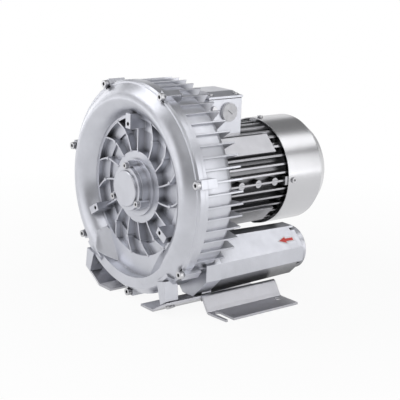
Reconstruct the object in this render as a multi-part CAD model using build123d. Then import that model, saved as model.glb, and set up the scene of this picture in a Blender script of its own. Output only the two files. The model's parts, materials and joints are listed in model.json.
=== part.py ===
from build123d import *
import os
from math import atan2, cos, degrees, hypot, pi, radians, sin, tan

# Side channel blower with a built-on fan-cooled motor, a terminal box, two silencers and sheet metal feet.
# Millimetres. While the pieces are made, the shaft axis is the Y axis and Y = 0 is the front face of the
# cover's rim; +Y runs to the motor, +X to the right seen from the front, +Z up. placed() then moves
# everything so that the origin lies on the ground, under the shaft, in line with the rear foot holes.

# ---- driving dimensions -------------------------------------------------------------------------------
AXIS_HEIGHT = 153.0          # shaft axis above the ground
RUN_GAP = 0.5                # impeller to casing, where only air seals
FIT_GAP = 0.1                # radial play of seated, bolted and pressed pieces
BEARING_GAP = 0.05           # running play in the bearings

# cover
RIM_RADIUS = 142.5
RIM_THICK = 10.0             # rim, from its front face to the joint with the housing
BULGE_FOOT_RADIUS = 138.0    # where the channel bulge leaves the rim
BULGE_CREST_RADIUS = 117.0
BULGE_HEIGHT = 19.0
LIP_RADIUS = 93.0            # inner edge of the bulge, outer edge of the recessed disc
COVER_WALL = 4.0
DISC_FACE_Y = 16.0           # front face of the recessed disc
PAD_HEIGHT = 11.0            # flat stripper pad between the ends of the channel
PAD_RADIUS = 119.0
BULGE_START = -46.0          # angle where the channel bulge begins, counted from +X towards +Z
BULGE_END = 250.0            # angle where it ends, above the left foot

# ribs, guard posts and hub of the cover
RIB_COUNT = 15
RIB_THICK = 2.2
RIB_FRONT_Y = 5.0
PIN_RADIUS = 2.6
PIN_CIRCLE = 72.0
POST_COUNT = 3
POST_WIDTH = 10.6
POST_FRONT_Y = -9.0
POST_INNER_RADIUS = 80.0
POST_OUTER_RADIUS = 104.0
GUARD_HOLE_CIRCLE = 86.0     # radius of the circle through the guard holes
GUARD_HOLE_RADIUS = 2.5
GUARD_HOLE_DEPTH = 16.0
HUB_RADIUS = 48.4
HUB_FACE_Y = 9.0
BOSS_RADIUS = 35.0
BOSS_FACE_Y = -5.0
LUG_CIRCLE = 31.0
LUG_RADIUS = 6.0
CAP_RADIUS = 29.5
CAP_THICK = 4.5
CAP_FACE_RADIUS = 24.0
CAP_CROWN = 3.0

# cover screws
SCREW_COUNT = 7
SCREW_CIRCLE = 144.0
SCREW_RADIUS = 3.0
SCREW_HEAD_RADIUS = 5.0
SCREW_HEAD = 6.0
SCREW_LENGTH = 26.0
EAR_RADIUS = 6.6
EAR_LENGTH = 13.0            # screw boss of the housing behind the joint

# impeller housing
HOUSING_RADIUS = 133.0
CHANNEL_INNER_RADIUS = 98.5
CHANNEL_OUTER_RADIUS = 128.5
CHANNEL_FRONT_Y = -14.0
CHANNEL_REAR_Y = 60.0
HOUSING_REAR_Y = 65.0
WALL_FRONT_Y = 38.5          # front face of the wall behind the impeller
WALL_THICK = 6.0
SEAT_RADIUS = 72.0           # ring at the back that carries the motor
SEAT_BORE = 62.0
SEAT_Y = 95.0
FINS_PER_TURN = 56
FIN_THICK = 2.4
FIN_TIP_RADIUS = 141.5
FIN_FRONT_Y = 18.0
FIN_SHOULDER_Y = 72.0        # where a fin's tip starts to slope down to the motor
FIN_REAR_RADIUS = 104.0
FIN_START = -45.0
FIN_END = 225.0
FIN_CLEARANCE = 1.0          # fins stop this far from the silencers

# impeller
IMPELLER_RADIUS = 128.0
BLADE_INNER_RADIUS = 97.6
BLADE_FRONT_Y = 12.0
BLADE_REAR_Y = 38.0
BLADE_COUNT = 40
BLADE_THICK = 2.0
WEB_THICK = 3.0
IMPELLER_DISC_THICK = 7.5
IMPELLER_HUB_RADIUS = 30.0
IMPELLER_HUB_Y = 21.0
IMPELLER_HUB_REAR_Y = 37.0

# shaft
SHAFT_FRONT_Y = -4.5
FRONT_JOURNAL = 12.5
IMPELLER_SEAT = 14.0
SHAFT_BODY = 17.0
REAR_JOURNAL = 10.0
FAN_SEAT = 9.0
SHAFT_REAR_Y = 262.0
SHOULDER_Y = 37.0
KEY_WIDTH = 8.0
KEY_HEIGHT = 7.0
KEY_LENGTH = 14.0

# bearings
FRONT_BEARING_BORE = 12.5
FRONT_BEARING_OUTER = 26.0
FRONT_BEARING_WIDTH = 15.0
FRONT_BEARING_Y = -3.5
REAR_BEARING_BORE = 10.0
REAR_BEARING_OUTER = 23.5
REAR_BEARING_WIDTH = 14.0
REAR_BEARING_Y = 203.0
BALL_COUNT = 9

# motor
MOTOR_BORE = 56.0
MOTOR_SKIN = 61.0
MOTOR_FIN_RADIUS = 72.0
MOTOR_REAR_Y = 214.0
MOTOR_FIN_PITCH = 11.4
MOTOR_FIN_THICK = 2.6
STACK_FRONT_Y = 118.0
STACK_LENGTH = 70.0
STATOR_BORE = 36.5
AIR_GAP = 0.5
WINDING_LENGTH = 20.0
PAD_FACE = 70.0              # distance of the flat pads on the motor's flanks from the axis
TIE_CIRCLE = 66.0
SHIELD_THICK = 6.0

# fan and fan cover
FAN_COVER_RADIUS = 76.3
FAN_COVER_WALL = 1.5
FAN_COVER_FRONT_Y = 211.0
FAN_COVER_SHOULDER_Y = 274.0
FAN_COVER_REAR_Y = 292.0
FAN_COVER_REAR_RADIUS = 64.0
FAN_RADIUS = 68.0
FAN_FRONT_Y = 226.0
FAN_REAR_Y = 252.0
FAN_BLADES = 9
COVER_SCREW_Y = 220.0

# terminal box
BOX_HALF_WIDTH = 34.0
BOX_FRONT_Y = 98.0
BOX_REAR_Y = 155.0
BOX_BOTTOM_Z = 66.0
BOX_RIM_Z = 114.0
BOX_WALL = 3.0
LID_RIM_THICK = 3.0
LID_TOP_Z = 123.0
LID_TOP_HALF_WIDTH = 20.0
PLUG_RADIUS = 12.5
PLUG_Y = 132.0
PLUG_Z = 96.0
EARTH_Y = 106.0
EARTH_Z = 102.0

# silencers
SILENCER_X = 77.0
SILENCER_Z = -96.0
SILENCER_HALF = 37.5         # half the distance across flats at the front
SILENCER_REAR_HALF = 34.5
SILENCER_SIDE = 22.0         # height of the upright outer face
SILENCER_FRONT_Y = 63.0
SILENCER_REAR_Y = 204.0
SILENCER_WALL = 3.5
SILENCER_BORE = 22.0
CAP_DEPTH = 18.0
PORT_RADIUS = 22.4           # minor radius of the G1 1/2 pipe thread
PORT_COLLAR = 30.0
PORT_LENGTH = 20.0

# feet
SHEET = 3.0
TONGUE_INNER_X = 36.0
TONGUE_OUTER_X = 63.0
CREST_X = 97.0
CREST_Z = 23.0               # top of the crest above the ground
FOOT_WALL_X = 107.0
FOOT_OUTER_X = 146.0
FOOT_FRONT_Y = -8.0
FOOT_LEG_Y = 46.0
FOOT_REAR_Y = 174.0
HOLE_X = 120.0               # foot holes from the centre line
HOLE_Y = 161.0               # rear foot holes behind the cover's rim
SLOT_PITCH = 105.0           # front slots ahead of the rear holes
HOLE_RADIUS = 5.0


# ---- helpers ------------------------------------------------------------------------------------------
def turned(*points, start=0.0, sweep=360.0):
    """Solid turned about the shaft from (radius, y) points, over sweep degrees from the start angle."""
    solid = revolve(make_face(Polyline(*points, close=True)), Axis.Y, sweep)
    return turn(solid, start + sweep)


def turn(shape, angle):
    """Turn a shape about the shaft; positive angles go from +X towards +Z."""
    return Rot(0, -angle, 0) * shape


def disc(radius, front, rear, x=0.0, z=0.0):
    """Round bar along Y."""
    bar = Cylinder(radius, rear - front, align=(Align.CENTER, Align.CENTER, Align.MIN))
    return Pos(x, front, z) * Rot(-90, 0, 0) * bar


def ring(outer, inner, front, rear, x=0.0, z=0.0):
    return disc(outer, front, rear, x, z) - disc(inner, front - 1, rear + 1, x, z)


def polar(radius, angle):
    return radius * cos(radians(angle)), radius * sin(radians(angle))


def block(x0, x1, y0, y1, z0, z1):
    return Pos((x0 + x1) / 2, (y0 + y1) / 2, (z0 + z1) / 2) * Box(x1 - x0, y1 - y0, z1 - z0)


def upright(points, front, rear):
    """Prism along Y with a closed (x, z) outline."""
    face = make_face(Polyline(*[(x, 0, z) for x, z in points], close=True))
    return Pos(0, front, 0) * extrude(face, amount=rear - front, dir=(0, 1, 0))


def around(shape, count, start=0.0):
    """Copies of a shape, evenly spread round the shaft."""
    return [turn(shape, start + 360 * i / count) for i in range(count)]


def joined(first, others):
    for other in others:
        first = first + other
    return first


def cut(first, others):
    for other in others:
        first = first - other
    return first


def mirrored(shape):
    return mirror(shape, about=Plane.YZ)


def placed(shape):
    return Pos(0, -HOLE_Y, AXIS_HEIGHT) * shape


def socket_screw(length, radius, head_radius, head):
    """Socket head screw along +Y; the underside of its head is at y = 0."""
    socket = Pos(0, -head, 0) * Rot(-90, 0, 0) * extrude(RegularPolygon(radius * 0.85, 6), amount=head * 0.5)
    return disc(radius, 0, length) + disc(head_radius, -head, 0) - socket


def hex_screw(length, radius, head_across, head):
    """Hexagon head screw along +Y; the underside of its head is at y = 0."""
    bolt_head = Rot(90, 0, 0) * extrude(RegularPolygon(head_across / 2, 6, major_radius=False), amount=head)
    return disc(radius, 0, length) + bolt_head


def screw_angles():
    return [270.0 + 360.0 * i / SCREW_COUNT for i in range(SCREW_COUNT)]


# ---- front cover --------------------------------------------------------------------------------------
def bulge_face():
    """Half section of the cover outside the disc, from the rim over the channel bulge to the lip."""
    skin = Spline(
        (BULGE_FOOT_RADIUS, 0),
        (BULGE_CREST_RADIUS + 12, -BULGE_HEIGHT * 0.68),
        (BULGE_CREST_RADIUS, -BULGE_HEIGHT),
        (LIP_RADIUS + 9, -BULGE_HEIGHT * 0.66),
        (LIP_RADIUS, HUB_FACE_Y - 3),
        tangents=((-1, -1.2), (0, 1)),
    )
    back = Polyline((LIP_RADIUS, HUB_FACE_Y - 3), (LIP_RADIUS, RIM_THICK), (BULGE_FOOT_RADIUS, RIM_THICK),
                    (BULGE_FOOT_RADIUS, 0))
    return make_face([skin, back])


def channel_face(crown_y, edge_y):
    """Half section of the side channel: straight at the joint, round at the bottom."""
    middle = (CHANNEL_INNER_RADIUS + CHANNEL_OUTER_RADIUS) / 2
    arc = ThreePointArc((CHANNEL_INNER_RADIUS, edge_y), (middle, crown_y), (CHANNEL_OUTER_RADIUS, edge_y))
    return make_face([arc, Line((CHANNEL_OUTER_RADIUS, edge_y), (CHANNEL_INNER_RADIUS, edge_y))])


def swept_face(face, start, end):
    return turn(revolve(face, Axis.Y, end - start), end)


def rib(angle):
    """Curved rib of the disc with its round pin."""
    inner = polar(HUB_RADIUS - 2, angle + 11)
    pin = polar(PIN_CIRCLE, angle)
    outer = polar(LIP_RADIUS + 1, angle + 9)
    line = Spline(inner, polar((HUB_RADIUS + PIN_CIRCLE) / 2, angle + 9), pin,
                  polar((PIN_CIRCLE + LIP_RADIUS) / 2, angle + 1), outer)
    wall = extrude(trace(line, RIB_THICK), amount=DISC_FACE_Y - RIB_FRONT_Y)
    wall = Pos(0, DISC_FACE_Y, 0) * Rot(90, 0, 0) * wall
    return wall + disc(PIN_RADIUS, RIB_FRONT_Y - 1, DISC_FACE_Y, pin[0], pin[1])


def guard_post():
    """Post for a guard's screw, made at angle 0: straight walls down to the disc and a tapped hole."""
    body = block(POST_INNER_RADIUS, POST_OUTER_RADIUS, POST_FRONT_Y, DISC_FACE_Y,
                 -POST_WIDTH / 2, POST_WIDTH / 2)
    body += block(HUB_RADIUS - 2, POST_INNER_RADIUS, RIB_FRONT_Y, DISC_FACE_Y, -RIB_THICK / 2, RIB_THICK / 2)
    return body


def front_cover():
    cover = swept_face(bulge_face(), BULGE_START, BULGE_END)
    pad_front = -PAD_HEIGHT
    pad = turned((LIP_RADIUS, pad_front), (PAD_RADIUS - 8, pad_front), (PAD_RADIUS, 0),
                 (BULGE_FOOT_RADIUS, 0), (BULGE_FOOT_RADIUS, RIM_THICK), (LIP_RADIUS, RIM_THICK),
                 start=BULGE_END - 2, sweep=360 - (BULGE_END - BULGE_START) + 4)
    cover += pad
    cover += turned((BULGE_FOOT_RADIUS - 2, 0), (RIM_RADIUS, 0), (RIM_RADIUS, RIM_THICK),
                    (BULGE_FOOT_RADIUS - 2, RIM_THICK))
    disc_back = DISC_FACE_Y + COVER_WALL
    cover += turned((LIP_RADIUS, 0), (LIP_RADIUS + COVER_WALL, 0), (LIP_RADIUS + COVER_WALL, disc_back),
                    (0, disc_back), (0, DISC_FACE_Y), (LIP_RADIUS, DISC_FACE_Y))
    cover += turned((0, HUB_FACE_Y), (HUB_RADIUS, HUB_FACE_Y), (HUB_RADIUS, disc_back), (0, disc_back))
    cover += disc(BOSS_RADIUS, BOSS_FACE_Y, HUB_FACE_Y + 1)
    for i in range(RIB_COUNT):
        angle = 90 + 360 * i / RIB_COUNT
        if i % (RIB_COUNT // POST_COUNT) == 0:
            cover += turn(guard_post(), angle)
        else:
            cover += rib(angle)
    for angle in screw_angles():
        x, z = polar(SCREW_CIRCLE, angle)
        cover += disc(EAR_RADIUS, 0, RIM_THICK, x, z)
        cover -= disc(SCREW_RADIUS + 2 * FIT_GAP, -1, RIM_THICK + 1, x, z)
    cover += foot_lug(-11.0, RIM_THICK)
    cover += mirrored(foot_lug(-11.0, RIM_THICK))
    cover -= swept_face(channel_face(CHANNEL_FRONT_Y, BLADE_FRONT_Y - RUN_GAP), BULGE_START + 4, BULGE_END - 4)
    cover -= ring(CHANNEL_OUTER_RADIUS, LIP_RADIUS + COVER_WALL, BLADE_FRONT_Y - RUN_GAP, RIM_THICK + 30)
    cover -= disc(FRONT_BEARING_OUTER + BEARING_GAP, BOSS_FACE_Y - 1, FRONT_BEARING_Y + FRONT_BEARING_WIDTH)
    cover -= disc(SHAFT_BODY + 1.5, BOSS_FACE_Y, disc_back + 1)
    for angle in (90, 210, 330):
        x, z = polar(LUG_CIRCLE, angle)
        cover -= disc(SCREW_RADIUS - 0.5 + FIT_GAP, BOSS_FACE_Y - 1, BOSS_FACE_Y + 11, x, z)
        x, z = polar(GUARD_HOLE_CIRCLE, angle)
        cover -= disc(GUARD_HOLE_RADIUS, POST_FRONT_Y - 1, POST_FRONT_Y + GUARD_HOLE_DEPTH, x, z)
    for foot_hole in foot_screw_places():
        cover -= foot_hole * disc(SCREW_RADIUS + FIT_GAP, -20, 14)
    return cover


def front_bearing_cap():
    top = BOSS_FACE_Y - CAP_THICK
    cap = disc(CAP_RADIUS, top, BOSS_FACE_Y)
    for angle in (90, 210, 330):
        x, z = polar(LUG_CIRCLE, angle)
        cap += disc(LUG_RADIUS, top, BOSS_FACE_Y, x, z)
    cap += turned((0, top - CAP_CROWN), (CAP_FACE_RADIUS - 1, top - CAP_CROWN), (CAP_FACE_RADIUS, top - CAP_CROWN + 1),
                  (CAP_FACE_RADIUS, top + 1), (0, top + 1))
    cap -= disc(FRONT_BEARING_OUTER - 4, BOSS_FACE_Y - 2, BOSS_FACE_Y + 1)
    for angle in (90, 210, 330):
        x, z = polar(LUG_CIRCLE, angle)
        cap -= disc(SCREW_RADIUS - 0.5 + FIT_GAP, top - 1, BOSS_FACE_Y + 1, x, z)
    return cap


def front_cap_screws():
    screw = socket_screw(13, SCREW_RADIUS - 0.5, 4.2, 4)
    return [Pos(x, BOSS_FACE_Y - CAP_THICK, z) * screw for x, z in (polar(LUG_CIRCLE, a) for a in (90, 210, 330))]


def cover_screws():
    screw = socket_screw(SCREW_LENGTH - 4, SCREW_RADIUS, SCREW_HEAD_RADIUS, SCREW_HEAD)
    return [Pos(x, 0, z) * screw for x, z in (polar(SCREW_CIRCLE, a) for a in screw_angles())]


# ---- feet and their lugs ------------------------------------------------------------------------------
def slope_angle():
    return degrees(atan2(CREST_Z - SHEET, CREST_X - TONGUE_OUTER_X))


def slope_point(x):
    """Point on top of the foot plate's sloping part, in the shaft's frame."""
    angle = radians(slope_angle())
    return x, SHEET / 2 + (x - TONGUE_OUTER_X) * tan(angle) + SHEET / 2 / cos(angle) - AXIS_HEIGHT


def foot_lug(front, rear):
    """Cast lug on the right that stands square on the sloping foot plate."""
    x_in, z_in = slope_point(83.0)
    x_out, z_out = slope_point(93.5)
    return upright([(x_in, z_in), (x_out, z_out), (x_out - 3, -104.0), (x_in - 9, -108.0)], front, rear)


LUG_SCREW_X = 88.0
LUG_SCREW_Y = (0.0, 57.0)


def foot_screw_places():
    """Places of the foot screws: y = 0 on the plate's top, +Y up the lug."""
    x, z = slope_point(LUG_SCREW_X)
    right = [Pos(x, y, z) * Rot(0, -slope_angle(), 0) * Rot(90, 0, 0) for y in LUG_SCREW_Y]
    left = [Pos(-x, y, z) * Rot(0, slope_angle(), 0) * Rot(90, 0, 0) for y in LUG_SCREW_Y]
    return right + left


def foot_profile():
    """Bent sheet outline seen from the front, thickness included, in the shaft's frame."""
    ground = -AXIS_HEIGHT
    middle = [(TONGUE_INNER_X, SHEET / 2), (TONGUE_OUTER_X, SHEET / 2), (CREST_X, CREST_Z - SHEET / 2),
              (FOOT_WALL_X, SHEET / 2 + 5), (FOOT_WALL_X + 4, SHEET / 2), (FOOT_OUTER_X, SHEET / 2)]
    line = FilletPolyline(*[(x, z + ground) for x, z in middle], radius=3.0)
    return trace(line, SHEET)


def foot_plate():
    """Right foot plate: tongue and slope under the blower, crest, wall and bolting flange."""
    sheet = Pos(0, FOOT_FRONT_Y, 0) * Rot(90, 0, 0) * extrude(foot_profile(), amount=-(FOOT_REAR_Y - FOOT_FRONT_Y))
    low, high = -AXIS_HEIGHT - 1, -AXIS_HEIGHT + CREST_Z + 1
    sheet -= block(CREST_X, FOOT_OUTER_X + 1, FOOT_FRONT_Y - 1, FOOT_LEG_Y, low, high)
    corner = extrude(make_face(Polyline((FOOT_WALL_X - 3, FOOT_LEG_Y - 1), (FOOT_OUTER_X + 1, FOOT_LEG_Y - 1),
                                        (FOOT_OUTER_X + 1, FOOT_LEG_Y + 2), close=True)), amount=high - low)
    sheet -= Pos(0, 0, low) * corner
    sheet -= Pos(HOLE_X, HOLE_Y, low) * Cylinder(HOLE_RADIUS, high - low, align=(Align.CENTER, Align.CENTER, Align.MIN))
    slot_y = HOLE_Y - SLOT_PITCH
    sheet -= Pos(HOLE_X, slot_y, low) * Cylinder(HOLE_RADIUS, high - low, align=(Align.CENTER, Align.CENTER, Align.MIN))
    sheet -= block(HOLE_X, FOOT_OUTER_X + 1, slot_y - HOLE_RADIUS, slot_y + HOLE_RADIUS, low, high)
    for place in foot_screw_places()[:2]:
        sheet -= place * disc(SCREW_RADIUS + 2 * FIT_GAP, -20, 10)
    return sheet


def foot_screws():
    screw = hex_screw(14 + SHEET, SCREW_RADIUS, 10, 4)
    return [place * Pos(0, -SHEET, 0) * screw for place in foot_screw_places()]


# ---- impeller housing ---------------------------------------------------------------------------------
def octagon(half, side, x=SILENCER_X, z=SILENCER_Z):
    s = side / 2
    return [(x + half, z - s), (x + half, z + s), (x + s, z + half), (x - s, z + half),
            (x - half, z + s), (x - half, z - s), (x - s, z - half), (x + s, z - half)]


def fin(angle):
    """Cooling fin in the plane through the shaft, from the wall of the channel to the motor seat."""
    outline = Polyline((SEAT_RADIUS - 2, WALL_FRONT_Y + 2), (HOUSING_RADIUS - 2, FIN_FRONT_Y),
                       (FIN_TIP_RADIUS - 4, FIN_FRONT_Y), (FIN_TIP_RADIUS, FIN_FRONT_Y + 5),
                       (FIN_TIP_RADIUS, FIN_SHOULDER_Y), (FIN_REAR_RADIUS, SEAT_Y),
                       (SEAT_RADIUS - 2, SEAT_Y), close=True)
    plate = Pos(0, 0, -FIN_THICK / 2) * extrude(make_face(outline), amount=FIN_THICK)
    return turn(plate, angle)


def impeller_housing():
    body = turned((0, RIM_THICK), (RIM_RADIUS, RIM_THICK), (RIM_RADIUS, RIM_THICK + 5),
                  (HOUSING_RADIUS + 1, RIM_THICK + 9), (HOUSING_RADIUS, RIM_THICK + 12),
                  (HOUSING_RADIUS, HOUSING_REAR_Y - 6), (HOUSING_RADIUS - 6, HOUSING_REAR_Y),
                  (CHANNEL_INNER_RADIUS, HOUSING_REAR_Y), (CHANNEL_INNER_RADIUS - 6, HOUSING_REAR_Y - 6),
                  (CHANNEL_INNER_RADIUS - 8, WALL_FRONT_Y + WALL_THICK), (SEAT_RADIUS, WALL_FRONT_Y + WALL_THICK),
                  (SEAT_RADIUS, SEAT_Y), (0, SEAT_Y))
    pitch = 360.0 / FINS_PER_TURN
    count = int((FIN_END - FIN_START) / pitch)
    first = 270.0 - 360.0 + pitch * round((FIN_START + 90.0) / pitch)
    body = joined(body, [fin(first + pitch * i) for i in range(count + 1)])
    for angle in screw_angles():
        x, z = polar(SCREW_CIRCLE, angle)
        body += disc(EAR_RADIUS, RIM_THICK, RIM_THICK + EAR_LENGTH, x, z)
    for side in (1, -1):
        collar = upright([(side * x, z) for x, z in octagon(SILENCER_HALF, SILENCER_SIDE)],
                         WALL_FRONT_Y, SILENCER_FRONT_Y)
        body += collar
    body += foot_lug(49.0, 65.0)
    body += mirrored(foot_lug(49.0, 65.0))
    body -= disc(CHANNEL_OUTER_RADIUS, RIM_THICK - 1, WALL_FRONT_Y)
    body -= swept_face(channel_face(CHANNEL_REAR_Y, WALL_FRONT_Y), BULGE_START - 14, BULGE_END - 8)
    body -= disc(SEAT_BORE, WALL_FRONT_Y + WALL_THICK, SEAT_Y + 5)
    body -= disc(SHAFT_BODY + 8, WALL_FRONT_Y - 1, SEAT_Y)
    for side in (1, -1):
        room = octagon(SILENCER_HALF + FIN_CLEARANCE, SILENCER_SIDE + FIN_CLEARANCE)
        body -= upright([(side * x, z) for x, z in room], SILENCER_FRONT_Y, SEAT_Y + 1)
        body -= disc(SILENCER_BORE, WALL_FRONT_Y + 10, SILENCER_FRONT_Y + 1, side * SILENCER_X, SILENCER_Z)
    for angle in screw_angles():
        x, z = polar(SCREW_CIRCLE, angle)
        body -= disc(SCREW_RADIUS + FIT_GAP, RIM_THICK - 1, RIM_THICK + EAR_LENGTH + 5, x, z)
    for place in foot_screw_places():
        body -= place * disc(SCREW_RADIUS + FIT_GAP, -20, 14)
    for x, z in tie_places():
        body -= disc(TIE_RADIUS + FIT_GAP, SEAT_Y - 14, SEAT_Y + 2, x, z)
    return body


# ---- motor --------------------------------------------------------------------------------------------
TIE_RADIUS = 2.5


def tie_places():
    return [polar(TIE_CIRCLE, angle) for angle in (45, 135, 225, 315)]


def motor_housing():
    body = disc(MOTOR_SKIN, SEAT_Y - 8, MOTOR_REAR_Y)
    envelope = disc(MOTOR_FIN_RADIUS, SEAT_Y, MOTOR_REAR_Y)
    reach = MOTOR_FIN_RADIUS + 2
    count = int(MOTOR_SKIN / MOTOR_FIN_PITCH)
    fins = None
    for i in range(-count, count + 1):
        z = i * MOTOR_FIN_PITCH
        plate = block(-reach, reach, SEAT_Y, MOTOR_REAR_Y, z - MOTOR_FIN_THICK / 2, z + MOTOR_FIN_THICK / 2)
        fins = plate if fins is None else fins + plate
    for i in range(-3, 4):
        x = i * MOTOR_FIN_PITCH
        fins += block(x - MOTOR_FIN_THICK / 2, x + MOTOR_FIN_THICK / 2, SEAT_Y, MOTOR_REAR_Y, -reach, reach)
    body += fins & envelope
    for angle in (45, 135, 225, 315):
        lobe = block(MOTOR_SKIN - 12, PAD_FACE + 2, SEAT_Y, MOTOR_REAR_Y - 16, -15, 15)
        body += turn(lobe, angle)
    for angle in (0, 180):
        for y in (130.0, 160.0, 190.0):
            boss = disc(5.5, 0, 14)
            body += turn(Pos(MOTOR_FIN_RADIUS - 1, y, 0) * Rot(0, 0, 90) * boss, angle)
    body += block(-BOX_HALF_WIDTH, BOX_HALF_WIDTH, BOX_FRONT_Y, BOX_REAR_Y, 40, BOX_BOTTOM_Z)
    body -= block(-BOX_HALF_WIDTH - 1, BOX_HALF_WIDTH + 1, BOX_FRONT_Y - 1, BOX_REAR_Y + 1,
                  BOX_BOTTOM_Z, MOTOR_FIN_RADIUS + 1)
    for angle in (0, 90, 180, 270):
        lug = block(MOTOR_SKIN - 8, FAN_COVER_RADIUS, MOTOR_REAR_Y - 8, MOTOR_REAR_Y, -6, 6)
        lug += block(MOTOR_SKIN + 1.5, FAN_COVER_RADIUS, MOTOR_REAR_Y - 8, COVER_SCREW_Y + 5, -6, 6)
        lug &= disc(FAN_COVER_RADIUS - FAN_COVER_WALL - FIT_GAP, MOTOR_REAR_Y - 9, COVER_SCREW_Y + 6)
        body += turn(lug, angle)
    body -= disc(MOTOR_BORE, SEAT_Y - 10, MOTOR_REAR_Y + 20)
    for x, z in tie_places():
        body -= disc(TIE_RADIUS + 0.5, SEAT_Y - 1, MOTOR_REAR_Y + 5, x, z)
    for angle in (0, 90, 180, 270):
        hole = Pos(MOTOR_SKIN - 10, COVER_SCREW_Y, 0) * Rot(0, 0, -90) * disc(2.0 + FIT_GAP, 0, 30)
        body -= turn(hole, angle)
    return body


def stator_core():
    core = ring(MOTOR_BORE - BEARING_GAP, STATOR_BORE, STACK_FRONT_Y, STACK_FRONT_Y + STACK_LENGTH)
    return core


def stator_winding():
    heads = []
    for front in (STACK_FRONT_Y - WINDING_LENGTH, STACK_FRONT_Y + STACK_LENGTH):
        head = turned((41, front + 3), (45, front), (50, front), (53, front + 3), (53, front + WINDING_LENGTH - 3),
                      (50, front + WINDING_LENGTH), (45, front + WINDING_LENGTH), (41, front + WINDING_LENGTH - 3))
        heads.append(head)
    return heads


def rear_end_shield():
    front = REAR_BEARING_Y - 1
    rear = MOTOR_REAR_Y + SHIELD_THICK
    shield = disc(MOTOR_SKIN, MOTOR_REAR_Y, rear) + disc(REAR_BEARING_OUTER + 5, front, rear)
    shield += disc(MOTOR_BORE - FIT_GAP, MOTOR_REAR_Y - 5, MOTOR_REAR_Y + 1)
    for x, z in tie_places():
        shield += disc(7, MOTOR_REAR_Y, rear, x, z)
    shield -= ring(MOTOR_BORE - 2.5, REAR_BEARING_OUTER + 5, MOTOR_REAR_Y - 6, MOTOR_REAR_Y)
    shield -= disc(REAR_BEARING_OUTER + BEARING_GAP, front - 1, REAR_BEARING_Y + REAR_BEARING_WIDTH)
    shield -= disc(REAR_JOURNAL + 2, front, rear + 1)
    for x, z in tie_places():
        shield -= disc(TIE_RADIUS + 0.3, MOTOR_REAR_Y - 1, rear + 1, x, z)
    return shield


def motor_tie_bolts():
    rear = MOTOR_REAR_Y + SHIELD_THICK
    bolts = []
    for x, z in tie_places():
        bolt = Rot(180, 0, 0) * hex_screw(rear - SEAT_Y + 12, TIE_RADIUS, 8, 3.5)
        bolts.append(Pos(x, rear, z) * bolt)
    return bolts


# ---- rotor --------------------------------------------------------------------------------------------
def shaft():
    body = turned((0, SHAFT_FRONT_Y), (FRONT_JOURNAL - 1, SHAFT_FRONT_Y), (FRONT_JOURNAL, SHAFT_FRONT_Y + 1),
                  (FRONT_JOURNAL, IMPELLER_HUB_Y - 8), (IMPELLER_SEAT, IMPELLER_HUB_Y - 8),
                  (IMPELLER_SEAT, SHOULDER_Y), (SHAFT_BODY, SHOULDER_Y),
                  (SHAFT_BODY, STACK_FRONT_Y + STACK_LENGTH + 6), (REAR_JOURNAL + 3, STACK_FRONT_Y + STACK_LENGTH + 6),
                  (REAR_JOURNAL + 3, REAR_BEARING_Y), (REAR_JOURNAL, REAR_BEARING_Y),
                  (REAR_JOURNAL, REAR_BEARING_Y + REAR_BEARING_WIDTH + 4), (FAN_SEAT, REAR_BEARING_Y + REAR_BEARING_WIDTH + 4),
                  (FAN_SEAT, SHAFT_REAR_Y - 1), (FAN_SEAT - 1, SHAFT_REAR_Y), (0, SHAFT_REAR_Y))
    seat = block(-KEY_WIDTH / 2, KEY_WIDTH / 2, IMPELLER_HUB_Y + 1, IMPELLER_HUB_Y + 1 + KEY_LENGTH,
                 IMPELLER_SEAT - KEY_HEIGHT / 2, IMPELLER_SEAT + 1)
    return body - seat


def impeller_key():
    base = IMPELLER_SEAT - KEY_HEIGHT / 2
    return block(-KEY_WIDTH / 2, KEY_WIDTH / 2, IMPELLER_HUB_Y + 1, IMPELLER_HUB_Y + 1 + KEY_LENGTH,
                 base, base + KEY_HEIGHT)


def impeller_spacer():
    return ring(SHAFT_BODY, FRONT_JOURNAL + FIT_GAP, FRONT_BEARING_Y + FRONT_BEARING_WIDTH, IMPELLER_HUB_Y - 8)


def impeller():
    middle = (BLADE_FRONT_Y + BLADE_REAR_Y) / 2
    half_disc = IMPELLER_DISC_THICK / 2
    half_web = WEB_THICK / 2
    wheel = turned((IMPELLER_SEAT + FIT_GAP, IMPELLER_HUB_Y), (IMPELLER_HUB_RADIUS, IMPELLER_HUB_Y),
                   (IMPELLER_HUB_RADIUS, middle - half_disc), (BLADE_INNER_RADIUS, middle - half_disc),
                   (BLADE_INNER_RADIUS, BLADE_FRONT_Y), (BLADE_INNER_RADIUS + 3, BLADE_FRONT_Y),
                   (BLADE_INNER_RADIUS + 12, middle - half_web), (IMPELLER_RADIUS, middle - half_web),
                   (IMPELLER_RADIUS, middle + half_web), (BLADE_INNER_RADIUS + 12, middle + half_web),
                   (BLADE_INNER_RADIUS + 3, BLADE_REAR_Y), (BLADE_INNER_RADIUS, BLADE_REAR_Y),
                   (BLADE_INNER_RADIUS, middle + half_disc), (IMPELLER_HUB_RADIUS, middle + half_disc),
                   (IMPELLER_HUB_RADIUS, IMPELLER_HUB_REAR_Y - 1), (IMPELLER_SEAT + FIT_GAP, IMPELLER_HUB_REAR_Y - 1))
    blade = block(BLADE_INNER_RADIUS + 0.5, IMPELLER_RADIUS - 0.3, BLADE_FRONT_Y, BLADE_REAR_Y,
                  -BLADE_THICK / 2, BLADE_THICK / 2)
    wheel = joined(wheel, around(blade, BLADE_COUNT))
    wheel -= block(-KEY_WIDTH / 2 - FIT_GAP, KEY_WIDTH / 2 + FIT_GAP, IMPELLER_HUB_Y - 1, IMPELLER_HUB_REAR_Y,
                   0, IMPELLER_SEAT + KEY_HEIGHT / 2 + FIT_GAP)
    return wheel


def rotor_core():
    core = ring(STATOR_BORE - AIR_GAP, SHAFT_BODY + BEARING_GAP / 2, STACK_FRONT_Y, STACK_FRONT_Y + STACK_LENGTH)
    return core


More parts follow.
